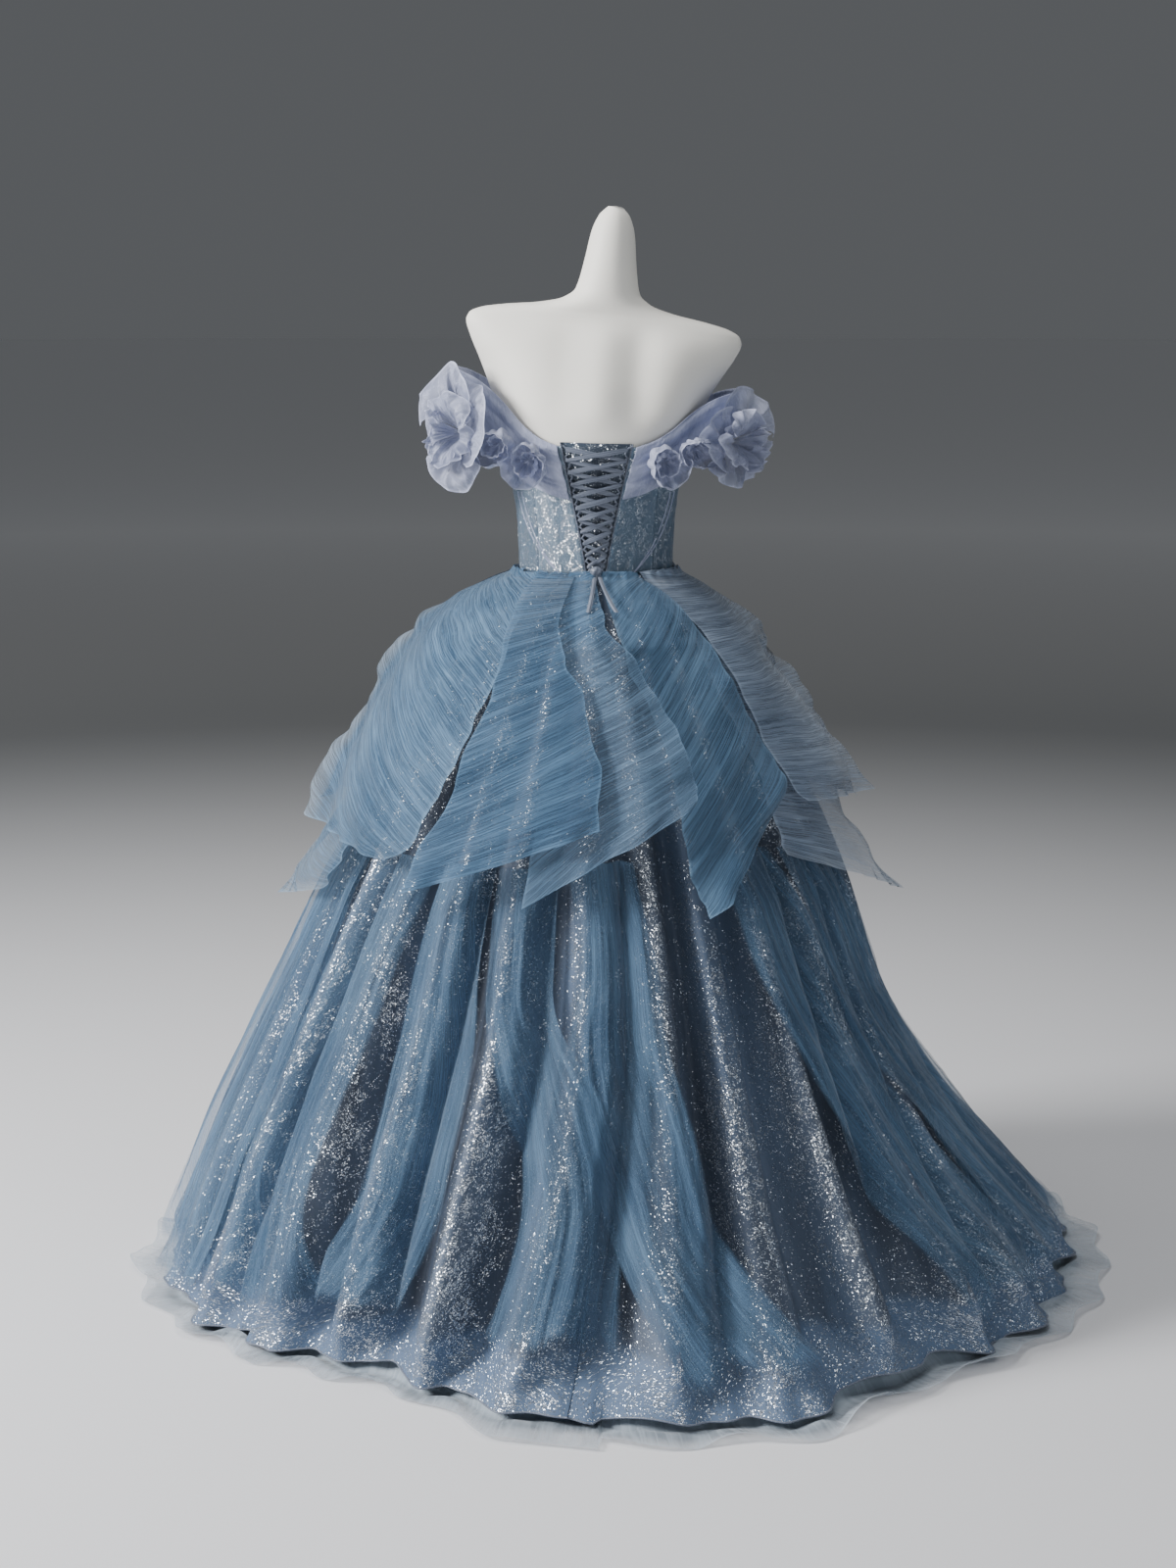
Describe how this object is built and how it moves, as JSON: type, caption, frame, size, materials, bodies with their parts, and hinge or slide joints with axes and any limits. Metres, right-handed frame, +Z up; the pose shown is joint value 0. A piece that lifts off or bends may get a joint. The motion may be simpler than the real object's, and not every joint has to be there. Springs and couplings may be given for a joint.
{
  "type": "ball gown on a dress form",
  "caption": "Floor-length ball gown with laced back, off-shoulder flower sleeves, draped peplum and fluted skirt, on a limbless dress form.",
  "frame": {"origin": "centre of the stand's underside, on the floor", "axes": "+Z up, +Y towards the laced back of the gown, -Y towards its front, +X towards the viewer's left when the back is seen"},
  "size_m": [1.4929, 1.4109, 1.618],
  "materials": {
    "form_shell": "matte, smooth",
    "stand_metal": "satin",
    "glitter_lace": "dark net with silver glitter lace",
    "bodice_lace": "pale satin under silver glitter lace",
    "organza": "lavender organza and satin, soft sheen",
    "ribbon": "satin ribbon",
    "crinkle_tulle": "sheer crinkle pleated tulle",
    "pale_tulle": "sheer soft tulle"
  },
  "bodies": {
    "root": {"dress_form": "form_shell", "stand_base": "stand_metal", "stand_pole": "stand_metal", "bodice_back_left": "bodice_lace", "bodice_side_left": "bodice_lace", "bodice_front_side_left": "bodice_lace", "bodice_front": "bodice_lace", "bodice_front_side_right": "bodice_lace", "bodice_side_right": "bodice_lace", "bodice_back_right": "bodice_lace", "modesty_panel": "glitter_lace", "lace_first": "ribbon", "lace_second": "ribbon", "lace_knot": "ribbon", "loops_left": "ribbon", "loops_right": "ribbon", "strap_left": "organza", "strap_right": "organza", "sleeve_left_rose_1": "organza", "sleeve_left_rose_2": "organza", "sleeve_left_rose_3": "organza", "sleeve_left_petal_1": "organza", "sleeve_left_petal_2": "organza", "sleeve_left_petal_3": "organza", "sleeve_left_petal_4": "organza", "sleeve_right_rose_1": "organza", "sleeve_right_rose_2": "organza", "sleeve_right_rose_3": "organza", "sleeve_right_petal_1": "organza", "sleeve_right_petal_2": "organza", "sleeve_right_petal_3": "organza", "sleeve_right_petal_4": "organza", "skirt_back_left": "glitter_lace", "skirt_side_back_left": "glitter_lace", "skirt_side_front_left": "glitter_lace", "skirt_front": "glitter_lace", "skirt_side_front_right": "glitter_lace", "skirt_side_back_right": "glitter_lace", "skirt_back_right": "glitter_lace", "under_hem": "pale_tulle", "peplum_back_left": "crinkle_tulle", "peplum_back_middle": "crinkle_tulle", "peplum_back_right": "crinkle_tulle", "peplum_left_upper": "crinkle_tulle", "peplum_left_lower": "crinkle_tulle", "peplum_right_upper": "crinkle_tulle", "peplum_right_lower": "crinkle_tulle", "peplum_front_left": "crinkle_tulle", "peplum_front_right": "crinkle_tulle", "peplum_front_lower": "crinkle_tulle", "streamer_left": "crinkle_tulle", "streamer_side_back_left": "crinkle_tulle", "streamer_back_left": "crinkle_tulle", "streamer_back_middle": "crinkle_tulle", "streamer_back_right": "crinkle_tulle", "streamer_side_back_right": "crinkle_tulle", "streamer_right": "crinkle_tulle", "streamer_side_front_right": "crinkle_tulle", "streamer_front_right": "crinkle_tulle", "streamer_front_left": "crinkle_tulle"}
  },
  "joints": []
}
